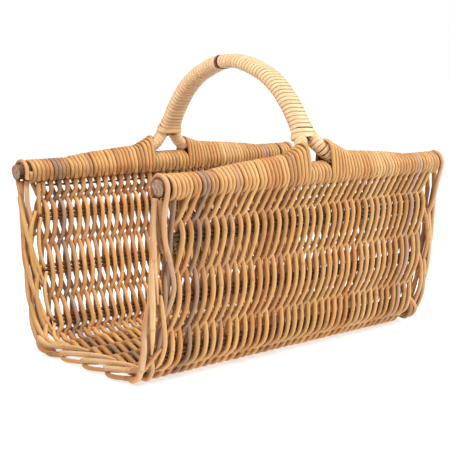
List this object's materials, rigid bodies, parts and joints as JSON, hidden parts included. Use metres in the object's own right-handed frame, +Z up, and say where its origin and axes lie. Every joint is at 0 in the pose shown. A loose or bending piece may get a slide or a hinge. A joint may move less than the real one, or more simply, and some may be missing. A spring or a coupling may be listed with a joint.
{
  "type": "woven log basket",
  "caption": "Open-ended U-shaped woven cane log basket with bound side rails and a forked, wrapped arch handle across the middle.",
  "frame": {"origin": "middle of the footprint, on the surface that the basket stands on", "axes": "+X along the rails and the open trough, +Y towards the rear wall, +Z up; the handle's arch lies across the trough in the plane X = 0"},
  "size_m": [0.576, 0.3748, 0.4451],
  "materials": {
    "cane": "satin natural cane, straw to honey and tan",
    "pale_cane": "satin pale honey cane",
    "bark": "rough bark on round poles, pale sawn ends",
    "rod": "matt brown thin rods"
  },
  "bodies": {
    "root": {"front_rail_pole": "bark", "front_binding_left": "cane", "front_binding_centre": "cane", "front_binding_right": "cane", "front_wall_weave": "cane", "front_corner_weave": "cane", "front_rod_1a": "rod", "front_rod_1b": "rod", "front_rod_1c": "rod", "front_rod_2a": "rod", "front_rod_2b": "rod", "front_rod_2c": "rod", "front_rod_3a": "rod", "front_rod_3b": "rod", "front_rod_3c": "rod", "front_end_loop_left": "cane", "front_leg_wrap_left": "pale_cane", "front_end_loop_right": "cane", "front_leg_wrap_right": "pale_cane", "rear_rail_pole": "bark", "rear_binding_left": "cane", "rear_binding_centre": "cane", "rear_binding_right": "cane", "rear_wall_weave": "cane", "rear_corner_weave": "cane", "rear_rod_1a": "rod", "rear_rod_1b": "rod", "rear_rod_1c": "rod", "rear_rod_2a": "rod", "rear_rod_2b": "rod", "rear_rod_2c": "rod", "rear_rod_3a": "rod", "rear_rod_3b": "rod", "rear_rod_3c": "rod", "rear_end_loop_left": "cane", "rear_leg_wrap_left": "pale_cane", "rear_end_loop_right": "cane", "rear_leg_wrap_right": "pale_cane", "base_weave": "cane", "base_rod_1a": "rod", "base_rod_1b": "rod", "base_rod_1c": "rod", "base_rod_2a": "rod", "base_rod_2b": "rod", "base_rod_2c": "rod", "base_rod_3a": "rod", "base_rod_3b": "rod", "base_rod_3c": "rod", "base_rod_4a": "rod", "base_rod_4b": "rod", "base_rod_4c": "rod", "border_left_outer": "pale_cane", "border_left_inner": "pale_cane", "border_left_middle": "pale_cane", "handle_core_left": "cane", "border_right_outer": "pale_cane", "border_right_inner": "pale_cane", "border_right_middle": "pale_cane", "handle_core_right": "cane", "handle_wrap": "pale_cane"}
  },
  "joints": []
}
